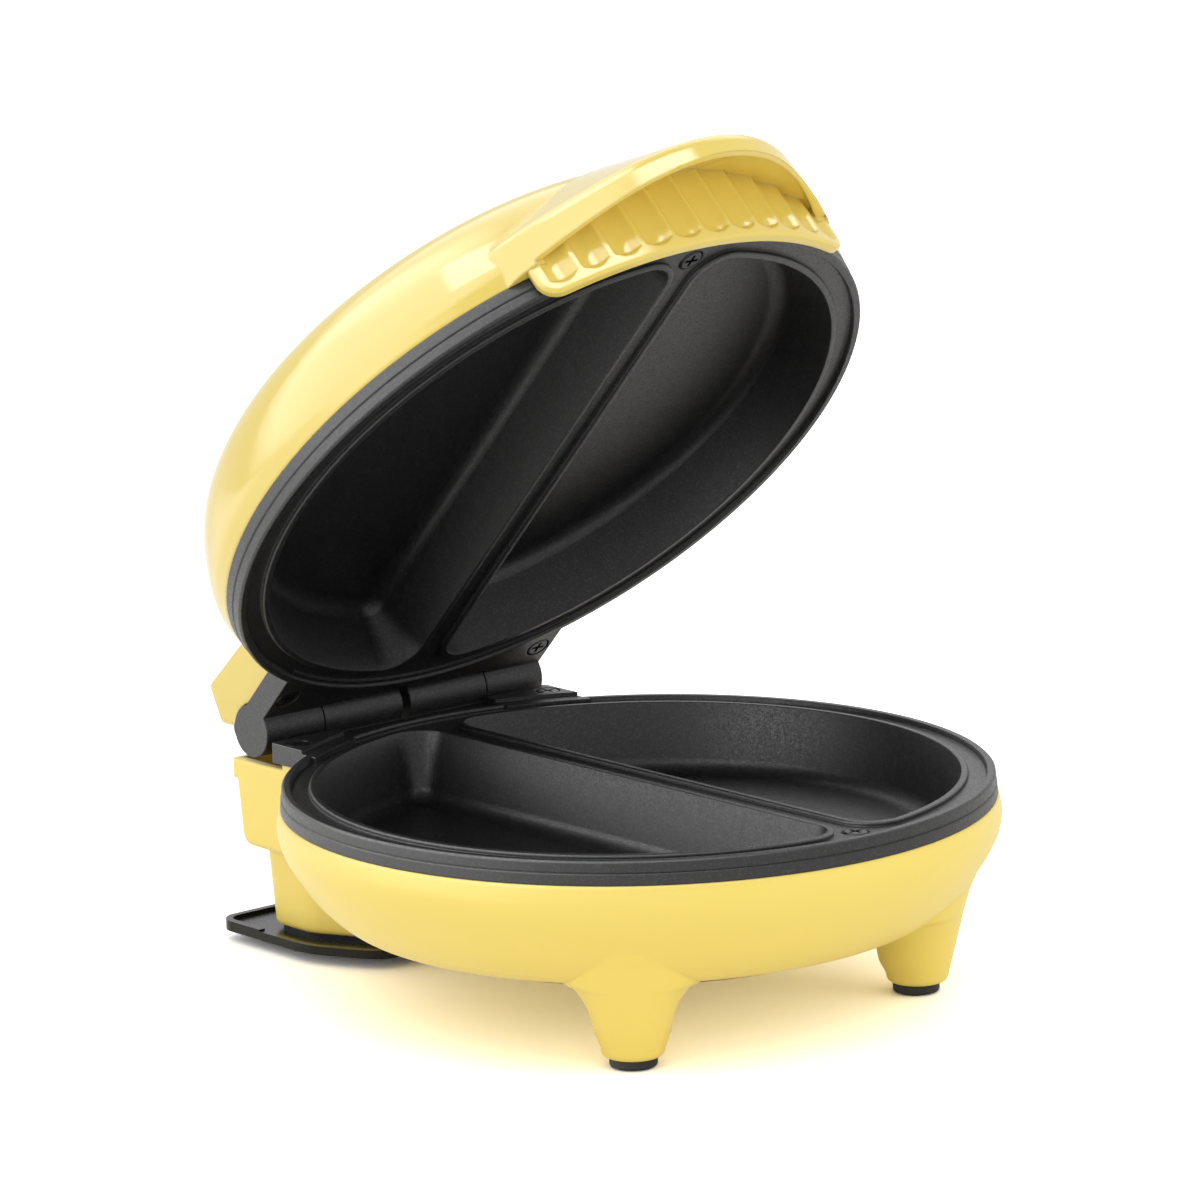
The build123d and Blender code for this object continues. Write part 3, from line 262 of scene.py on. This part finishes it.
class StageLook(bpy.types.PropertyGroup):
    """Floor, lights and camera"""
    floor: FloatVectorProperty(
        name="Floor", description="Pale paper floor",
        subtype="COLOR", size=3, min=0.0, max=1.0, default=linear("#F4F3F0"))
    paper: FloatProperty(
        name="Paper in view", description="Gain of the paper that the camera sees", default=2.0,
        min=1.0, max=4.0)
    mirrored: FloatProperty(
        name="Paper in gloss", description="Gain of the paper that gloss and lenses show", default=1.25,
        min=1.0, max=4.0)
    ambient: FloatProperty(
        name="Surround", description="Light from the white surround", default=0.92, min=0.0, max=2.0)
    top: FloatProperty(
        name="Top softbox", description="Power in watts", default=1.0, min=0.0, max=100.0)
    front: FloatProperty(
        name="Front softbox", description="Power in watts", default=1.6, min=0.0, max=100.0)
    left: FloatProperty(
        name="Left softbox", description="Power in watts", default=2.4, min=0.0, max=100.0)
    right: FloatProperty(
        name="Right fill", description="Power in watts", default=3.2, min=0.0, max=100.0)
    window: FloatProperty(
        name="Window card", description="Glow of the bright patch on the dome", default=5.5,
        min=0.0, max=50.0)
    crest: FloatProperty(
        name="Crest card", description="Glow of the streak on the handle's crest", default=9.0,
        min=0.0, max=50.0)
    silk: FloatProperty(
        name="Silk card", description="Glow at the middle of the wide card to the left", default=3.5,
        min=0.0, max=50.0)
    sweep: FloatProperty(
        name="Sweep card", description="Glow of the paper sweep on the left, seen in gloss",
        default=1.4, min=0.0, max=50.0)
    behind: FloatProperty(
        name="Back card", description="Glow of the card above and behind", default=1.6,
        min=0.0, max=50.0)
    azimuth: FloatProperty(
        name="Camera azimuth", description="From the front, to the right",
        default=math.radians(-40.202), subtype="ANGLE")
    elevation: FloatProperty(
        name="Camera elevation", description="Above the table",
        default=math.radians(11.915), subtype="ANGLE")
    roll: FloatProperty(
        name="Camera roll", description="Turn about the line of sight",
        default=math.radians(-1.499), subtype="ANGLE")
    distance: FloatProperty(
        name="Camera distance", description="From the aim point",
        default=1.62857, min=0.1, max=20.0, unit="LENGTH")
    lens: FloatProperty(
        name="Lens (mm)", description="Focal length on a 36 mm frame", default=185.542,
        min=10.0, max=1000.0)


def gloss_shell(look):
    """ABS injection-moulded in a polished tool: clear reflections, a faint ripple, even pigment."""
    material, tree, place = blank("ABS moulded gloss yellow")
    drift = add(tree, "ShaderNodeTexNoise", {"Scale": per_mm(DRIFT_WIDTH), "Detail": 2.0},
                {"Vector": place})
    pigment = add(tree, "ShaderNodeMix",
                  {"data_type": "RGBA", 6: rgba(look.lid_yellow), 7: rgba(look.lid_deep)},
                  {0: drift.outputs["Fac"]})
    handled = add(tree, "ShaderNodeTexNoise", {"Scale": per_mm(HANDLED_WIDTH), "Detail": 3.0},
                  {"Vector": place})
    rough = add(tree, "ShaderNodeMapRange",
                {"To Min": look.lid_roughness * 0.8, "To Max": look.lid_roughness * 1.25},
                {"Value": handled.outputs["Fac"]})
    ripple = add(tree, "ShaderNodeTexNoise", {"Scale": per_mm(look.ripple), "Detail": 1.0},
                 {"Vector": place})
    edge = add(tree, "ShaderNodeBevel", {"Radius": look.lid_edge})
    bump = add(tree, "ShaderNodeBump", {"Strength": 0.05, "Distance": 0.3 * MM},
               {"Height": ripple.outputs["Fac"], "Normal": edge.outputs[0]})
    shader = add(tree, "ShaderNodeBsdfPrincipled", {"IOR": ABS_IOR},
                 {"Base Color": pigment.outputs[2], "Roughness": rough.outputs[0],
                  "Normal": bump.outputs[0]})
    finish(tree, shader)
    return material


def satin_shell(look):
    """ABS injection-moulded in a spark-eroded tool: a soft satin sheen and a fine even grain."""
    material, tree, place = blank("ABS moulded satin yellow")
    drift = add(tree, "ShaderNodeTexNoise", {"Scale": per_mm(DRIFT_WIDTH), "Detail": 2.0},
                {"Vector": place})
    pigment = add(tree, "ShaderNodeMix",
                  {"data_type": "RGBA", 6: rgba(look.base_yellow), 7: rgba(look.base_deep)},
                  {0: drift.outputs["Fac"]})
    grain = add(tree, "ShaderNodeTexNoise", {"Scale": per_mm(look.grain), "Detail": 2.0},
                {"Vector": place})
    rough = add(tree, "ShaderNodeMapRange",
                {"To Min": look.base_roughness * 0.85, "To Max": look.base_roughness * 1.2},
                {"Value": grain.outputs["Fac"]})
    edge = add(tree, "ShaderNodeBevel", {"Radius": look.base_edge})
    bump = add(tree, "ShaderNodeBump", {"Strength": 0.12, "Distance": 0.08 * MM},
               {"Height": grain.outputs["Fac"], "Normal": edge.outputs[0]})
    shader = add(tree, "ShaderNodeBsdfPrincipled", {"IOR": ABS_IOR},
                 {"Base Color": pigment.outputs[2], "Roughness": rough.outputs[0],
                  "Normal": bump.outputs[0]})
    finish(tree, shader)
    return material


def nonstick_coat(look):
    """PTFE coat sprayed and baked on die-cast aluminium: near black, softly shiny, with mineral flakes whose
    sparkle is painted in as pale grey specks in the base colour.

    The flakes are really about 0.1 mm wide and are drawn several times as large, so that they show."""
    material, tree, place = blank("PTFE coat sprayed on cast aluminium")
    cells = add(tree, "ShaderNodeTexVoronoi", {"Scale": per_mm(look.flake_size)}, {"Vector": place})
    tone = add(tree, "ShaderNodeSeparateColor", links={"Color": cells.outputs["Color"]})
    # pale grey flake cells mixed into the coat's colour: real mineral flakes, with their sparkle painted in
    # as fixed lighter specks
    flake_glint_share = add(tree, "ShaderNodeMapRange", {"From Min": 0.7, "From Max": 1.0, "To Max": 0.18},
              {"Value": tone.outputs["Red"]})
    colour = add(tree, "ShaderNodeMix",
                 {"data_type": "RGBA", 6: rgba(look.coat), 7: rgba(look.flake_and_glint)},
                 {0: flake_glint_share.outputs[0]})
    rough = add(tree, "ShaderNodeMapRange",
                {"To Min": look.roughness * 0.8, "To Max": look.roughness * 1.25},
                {"Value": tone.outputs["Green"]})
    spray = add(tree, "ShaderNodeTexNoise", {"Scale": per_mm(SPRAY_WIDTH), "Detail": 3.0},
                {"Vector": place})
    edge = add(tree, "ShaderNodeBevel", {"Radius": look.edge})
    bump = add(tree, "ShaderNodeBump", {"Strength": 0.25, "Distance": 0.08 * MM},
               {"Height": spray.outputs["Fac"], "Normal": edge.outputs[0]})
    shader = add(tree, "ShaderNodeBsdfPrincipled", {"IOR": COAT_IOR},
                 {"Base Color": colour.outputs[2], "Roughness": rough.outputs[0],
                  "Normal": bump.outputs[0]})
    finish(tree, shader)
    return material


def speckled(name, colour, second, cell, roughness, ior=1.5, metallic=0.0):
    """One grained finish: noise with cells of a real width mixes two colours, roughness and a light bump."""
    material, tree, place = blank(name)
    grain = add(tree, "ShaderNodeTexNoise", {"Scale": per_mm(cell), "Detail": 3.0}, {"Vector": place})
    mixed = add(tree, "ShaderNodeMix", {"data_type": "RGBA", 6: rgba(colour), 7: rgba(second)},
                {0: grain.outputs["Fac"]})
    rough = add(tree, "ShaderNodeMapRange", {"To Min": roughness * 0.8, "To Max": roughness * 1.25},
                {"Value": grain.outputs["Fac"]})
    bump = add(tree, "ShaderNodeBump", {"Strength": 0.15, "Distance": 0.05 * MM},
               {"Height": grain.outputs["Fac"]})
    shader = add(tree, "ShaderNodeBsdfPrincipled", {"IOR": ior, "Metallic": metallic},
                 {"Base Color": mixed.outputs[2], "Roughness": rough.outputs[0],
                  "Normal": bump.outputs[0]})
    finish(tree, shader)
    return material


def tinted_lens(name, colour):
    """Polycarbonate, moulded clear and tinted: sharp gloss and a deep colour."""
    material, tree, place = blank(name)
    cloud = add(tree, "ShaderNodeTexNoise", {"Scale": per_mm(CLOUD_WIDTH)}, {"Vector": place})
    rough = add(tree, "ShaderNodeMapRange", {"To Min": 0.04, "To Max": 0.1},
                {"Value": cloud.outputs["Fac"]})
    shader = add(tree, "ShaderNodeBsdfPrincipled",
                 {"Base Color": rgba(colour), "IOR": LENS_IOR, "Transmission Weight": 0.35},
                 {"Roughness": rough.outputs[0]})
    finish(tree, shader)
    return material


def surface(name, points, closed):
    """Makes a mesh object from a grid of points (rows u, columns v), joined round both ways where closed."""
    rows, columns = points.shape[:2]
    index = np.arange(rows * columns).reshape(rows, columns)
    if closed:
        index = np.pad(index, ((0, 1), (0, 1)), mode="wrap")
    corners = [index[:-1, :-1], index[1:, :-1], index[1:, 1:], index[:-1, 1:]]
    quads = np.stack(corners, axis=-1)
    mesh = bpy.data.meshes.new(name)
    mesh.from_pydata(points.reshape(-1, 3), [], quads.reshape(-1, 4))
    mesh.shade_smooth()
    made = bpy.data.objects.new(name, mesh)
    bpy.context.scene.collection.objects.link(made)
    return made


def bezel_points(centre, normal, radius, width):
    """Ring with a round section: p = c + (r + w/2 cos v)(e1 cos u + e2 sin u) + n w/2 sin v."""
    n = np.array(normal) / np.linalg.norm(normal)
    e1 = np.cross(n, (0.0, 1.0, 0.0))
    e1 /= np.linalg.norm(e1)
    e2 = np.cross(n, e1)
    u = np.linspace(0, 2 * np.pi, BEZEL_AROUND, endpoint=False)[:, None, None]
    v = np.linspace(0, 2 * np.pi, BEZEL_SECTION, endpoint=False)[None, :, None]
    out = radius + width / 2 * np.cos(v)
    return np.array(centre) + out * (e1 * np.cos(u) + e2 * np.sin(u)) + n * width / 2 * np.sin(v)


class OMELETTE_OT_shells(bpy.types.Operator):
    """Gloss lid and satin base mouldings"""
    bl_idname = "omelette.shells"
    bl_label = "Dress the shells"

    def execute(self, context):
        look = context.scene.omelette_shell
        wear(gloss_shell(look), "lid_shell")
        wear(satin_shell(look), "base_shell")
        return {"FINISHED"}


class OMELETTE_OT_plates(bpy.types.Operator):
    """Non-stick coat on both cooking plates"""
    bl_idname = "omelette.plates"
    bl_label = "Dress the plates"

    def execute(self, context):
        wear(nonstick_coat(context.scene.omelette_plate), "lower_plate", "upper_plate")
        return {"FINISHED"}


class OMELETTE_OT_trim(bpy.types.Operator):
    """Cord stand, feet, cord inlet, screws and hinge pin"""
    bl_idname = "omelette.trim"
    bl_label = "Dress the trim"

    def execute(self, context):
        look = context.scene.omelette_trim
        # polypropylene from a lightly etched tool: dark, a soft sheen, fine even texture
        wear(speckled("Polypropylene moulded black", look.stand, linear("#0C0C0D"),
                      cell=0.8, roughness=0.25, ior=1.36), "cord_stand")
        # nitrile rubber, compression moulded: dull, a little dusty
        wear(speckled("Nitrile rubber moulded", look.rubber, linear("#2A2A29"),
                      cell=1.2, roughness=0.7, ior=1.52),
             "foot_pad_left", "foot_pad_right", "rear_pad_left", "rear_pad_right", "cord_gland")
        # steel screws in black oxide: dark metal with a low, slightly oily gloss
        wear(speckled("Steel black oxide", look.screw, linear("#2A2A2D"),
                      cell=0.6, roughness=0.36, metallic=0.85),
             "lower_plate_screws", "upper_plate_screws", "stand_screws")
        # ground steel pin: bright, with a fine grain from the wheel
        wear(speckled("Steel ground", linear("#B8B9BC"), linear("#A2A3A7"),
                      cell=0.5, roughness=0.28, metallic=1.0), "hinge_pin")
        return {"FINISHED"}


class OMELETTE_OT_heating(bpy.types.Operator):
    """Heaters, clamps, shields and the small electrical parts"""
    bl_idname = "omelette.heating"
    bl_label = "Dress the heating parts"

    def execute(self, context):
        # drawn steel heater tube, darkened by heat: brown and grey patches, a dull shine
        wear(speckled("Steel tube heat tinted", linear("#6A625A"), linear("#4E4A48"),
                      cell=4.0, roughness=0.42, metallic=1.0),
             "lower_element", "upper_element")
        # zinc plate on steel: pale, slightly cloudy spangle
        wear(speckled("Steel zinc plated", linear("#B9BBBD"), linear("#9A9DA1"),
                      cell=2.5, roughness=0.35, metallic=1.0),
             "lower_clamp", "upper_clamp", "lower_clamp_screw", "upper_clamp_screw", "thermostat",
             "thermal_fuse")
        # rolled aluminium sheet: bright and soft
        wear(speckled("Aluminium rolled sheet", linear("#D0D2D4"), linear("#BFC1C4"),
                      cell=1.5, roughness=0.3, metallic=1.0),
             "lower_shield", "upper_shield")
        # nylon terminal block, moulded: milky white, half matt
        wear(speckled("Nylon moulded white", linear("#E4E2DA"), linear("#D9D6CC"),
                      cell=1.0, roughness=0.45, ior=1.53),
             "terminal_block")
        # glass-epoxy laminate with a green mask: even green, a smooth lacquer shine
        wear(speckled("Glass epoxy laminate", linear("#2F6B3C"), linear("#275A33"),
                      cell=0.9, roughness=0.35),
             "lamp_board")
        return {"FINISHED"}


class OMELETTE_OT_lamps(bpy.types.Operator):
    """Two lamp lenses on the lid with their bezels"""
    bl_idname = "omelette.lamps"
    bl_label = "Make the lamps"

    def execute(self, context):
        look = context.scene.omelette_lamp
        wear(tinted_lens("Polycarbonate moulded red", look.power), "power_lens")
        wear(tinted_lens("Polycarbonate moulded green", look.ready), "ready_lens")
        # black ABS bezels, moulded: a crisp dark ring round each lamp
        ring_finish = speckled("ABS moulded black", linear("#1E1E20"), linear("#161618"),
                               cell=0.6, roughness=0.25, ior=ABS_IOR)
        lean = math.radians(-HINGE["range_deg"][0])
        out = np.array((0.0, math.sin(lean), math.cos(lean)))
        normal = (0.0, math.sin(lean - look.dome_fall), math.cos(lean - look.dome_fall))
        for lamp in ("power", "ready"):
            low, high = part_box(lamp + "_lens")
            seat = (np.array(low) + np.array(high)) / 2 + out * look.bezel_seat
            points = bezel_points(seat, normal, look.bezel, look.bezel_width)
            ring = surface(lamp + "_bezel", points, closed=True)
            ring.data.materials.append(ring_finish)
            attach(ring, "lid")
        return {"FINISHED"}


class OMELETTE_OT_stage(bpy.types.Operator):
    """Pale floor, white surround, softboxes, reflector cards and the camera"""
    bl_idname = "omelette.stage"
    bl_label = "Set the studio"

    def execute(self, context):
        look = context.scene.omelette_stage
        scene = context.scene
        scene.view_settings.view_transform = "Standard"
        self.floor(look)
        self.surround(scene, look)
        # softboxes give the even light and stay out of the gloss, cards are what the gloss mirrors
        for name, power, *setting in SOFTBOXES:
            self.softbox(name, getattr(look, power), *setting).visible_glossy = False
        for name, glow, *setting, dims in CARDS:
            card = self.card(name, getattr(look, glow), *setting)
            if dims:
                self.fade(card)
        self.camera(scene, look)
        return {"FINISHED"}

    def floor(self, look):
        """A flat grid of paper, white to the camera where it is lit, that keeps the shadow."""
        steps = np.linspace(-FLOOR_REACH, FLOOR_REACH, FLOOR_POINTS)
        x, y = np.meshgrid(steps, steps, indexing="ij")
        points = np.stack([x, y, np.full_like(x, FLOOR_LEVEL)], axis=-1)
        paper = surface("studio_floor", points, closed=False)
        # uncoated paper, rolled: matt, with a faint cloud of fibres
        material, tree, place = blank("Paper uncoated white")
        fibre = add(tree, "ShaderNodeTexNoise", {"Scale": per_mm(FIBRE_WIDTH), "Detail": 2.0},
                    {"Vector": place})
        tone = add(tree, "ShaderNodeMix",
                   {"data_type": "RGBA", 6: rgba(look.floor), 7: rgba(linear("#F7F6F4"))},
                   {0: fibre.outputs["Fac"]})
        camera, mirror = seen(tree)
        gain = add(tree, "ShaderNodeMath",
                   {"operation": "MULTIPLY_ADD", 1: look.paper - 1.0, 2: 1.0}, {0: camera})
        gain = add(tree, "ShaderNodeMath", {"operation": "MULTIPLY_ADD", 1: look.mirrored - 1.0},
                   {0: mirror, 2: gain.outputs[0]})
        shown = add(tree, "ShaderNodeVectorMath", {"operation": "SCALE"},
                    {0: tone.outputs[2], "Scale": gain.outputs[0]})
        matt = add(tree, "ShaderNodeBsdfDiffuse", links={"Color": shown.outputs[0]})
        finish(tree, matt)
        paper.data.materials.append(material)

    def surround(self, scene, look):
        """White where the camera, a gloss or a lens shows it, and the ambient setting as light."""
        world = bpy.data.worlds.new("White surround")
        world.use_nodes = True
        tree = world.node_tree
        tree.nodes.clear()
        camera, mirror = seen(tree)
        shown = add(tree, "ShaderNodeMath", {"operation": "MAXIMUM"}, {0: camera, 1: mirror})
        dim = add(tree, "ShaderNodeBackground", {"Strength": look.ambient})
        white = add(tree, "ShaderNodeBackground", {"Strength": 1.0})
        for back in (dim, white):
            back.inputs["Color"].default_value = (1.0, 1.0, 1.0, 1.0)
        mixed = add(tree, "ShaderNodeMixShader",
                    links={0: shown.outputs[0], 1: dim.outputs[0], 2: white.outputs[0]})
        add(tree, "ShaderNodeOutputWorld", links={"Surface": mixed.outputs[0]})
        scene.world = world

    def card(self, name, glow, angles, distance, size, aim):
        """A glowing card that shows in gloss alone. An area lamp of power P glows P / (pi A)."""
        power = glow * math.pi * size[0] * size[1]
        made = self.softbox(name, power, angles, distance, size, aim)
        made.visible_diffuse = False
        made.visible_camera = False
        return made

    def fade(self, made):
        """Dims a card towards its edges: its glow is f u (1 - u) times f v (1 - v), cut off at 1."""
        made.data.use_nodes = True
        tree = made.data.node_tree
        tree.nodes.clear()
        across = add(tree, "ShaderNodeSeparateXYZ",
                     links={0: add(tree, "ShaderNodeNewGeometry").outputs["Parametric"]})
        hills = []
        for side in ("X", "Y"):
            rest = add(tree, "ShaderNodeMath", {"operation": "SUBTRACT", 0: 1.0},
                       {1: across.outputs[side]})
            hills.append(add(tree, "ShaderNodeMath", {"operation": "MULTIPLY"},
                             {0: across.outputs[side], 1: rest.outputs[0]}))
        both = add(tree, "ShaderNodeMath", {"operation": "MULTIPLY"},
                   {0: hills[0].outputs[0], 1: hills[1].outputs[0]})
        level = add(tree, "ShaderNodeMath",
                    {"operation": "MULTIPLY", 1: FADE ** 2, "use_clamp": True},
                    {0: both.outputs[0]})
        glow = add(tree, "ShaderNodeEmission", links={"Strength": level.outputs[0]})
        add(tree, "ShaderNodeOutputLight", links={"Surface": glow.outputs[0]})

    def softbox(self, name, power, angles, distance, size, aim):
        """An area lamp that faces its aim from an azimuth and an elevation."""
        azimuth, elevation = (math.radians(angle) for angle in angles)
        out = self.outward(azimuth, elevation)
        lamp = bpy.data.lights.new(name, "AREA")
        lamp.shape = "RECTANGLE"
        lamp.size, lamp.size_y = size
        lamp.energy = power
        made = bpy.data.objects.new(name, lamp)
        made.location = aim + out * distance
        made.rotation_euler = out.to_track_quat("Z", "Y").to_euler()
        bpy.context.scene.collection.objects.link(made)
        return made

    def outward(self, azimuth, elevation):
        """Direction from the aim: (sin a cos e, -cos a cos e, sin e), where a is 0 at the front."""
        level = math.cos(elevation)
        return Vector((math.sin(azimuth) * level, -math.cos(azimuth) * level, math.sin(elevation)))

    def camera(self, scene, look):
        """Turns the view about its aim by azimuth, elevation and roll."""
        a, r = look.azimuth, look.roll
        back = self.outward(a, look.elevation)
        flat = Vector((math.cos(a), math.sin(a), 0.0))
        rise = back.cross(flat)
        right = flat * math.cos(r) + rise * math.sin(r)
        up = rise * math.cos(r) - flat * math.sin(r)
        place = PLATE_MIDDLE - right * SIGHT_LEFT + up * SIGHT_UP + back * look.distance
        view = bpy.data.cameras.new("Photo camera")
        view.lens = look.lens
        view.sensor_width = SENSOR_WIDTH
        view.clip_end = SIGHT_END
        made = bpy.data.objects.new("Photo camera", view)
        turned = Matrix((right, up, back)).transposed().to_4x4()
        made.matrix_world = Matrix.Translation(place) @ turned
        scene.collection.objects.link(made)
        scene.camera = made


class OMELETTE_PT_panel(bpy.types.Panel):
    """Lists the looks and the steps that make them"""
    bl_idname = "OMELETTE_PT_panel"
    bl_label = "Omelette maker"
    bl_space_type = "VIEW_3D"
    bl_region_type = "UI"
    bl_category = "Omelette maker"

    def draw(self, context):
        for name, group in LOOKS.items():
            box = self.layout.box()
            for key in group.__annotations__:
                box.prop(getattr(context.scene, name), key)
        for step in STEPS:
            self.layout.operator(step.bl_idname)


LOOKS = {"omelette_shell": ShellLook, "omelette_plate": PlateLook, "omelette_trim": TrimLook,
         "omelette_lamp": LampLook, "omelette_stage": StageLook}
STEPS = (OMELETTE_OT_shells, OMELETTE_OT_plates, OMELETTE_OT_trim, OMELETTE_OT_heating,
         OMELETTE_OT_lamps, OMELETTE_OT_stage)


def register():
    for group in LOOKS.values():
        bpy.utils.register_class(group)
    for name, group in LOOKS.items():
        setattr(bpy.types.Scene, name, PointerProperty(type=group))
    for step in STEPS:
        bpy.utils.register_class(step)
    bpy.utils.register_class(OMELETTE_PT_panel)


def unregister():
    bpy.utils.unregister_class(OMELETTE_PT_panel)
    for step in reversed(STEPS):
        bpy.utils.unregister_class(step)
    for name, group in LOOKS.items():
        delattr(bpy.types.Scene, name)
        bpy.utils.unregister_class(group)


def main():
    register()
    bpy.ops.omelette.shells()
    bpy.ops.omelette.plates()
    bpy.ops.omelette.trim()
    bpy.ops.omelette.heating()
    bpy.ops.omelette.lamps()
    bpy.ops.omelette.stage()


if __name__ == "__main__":
    main()
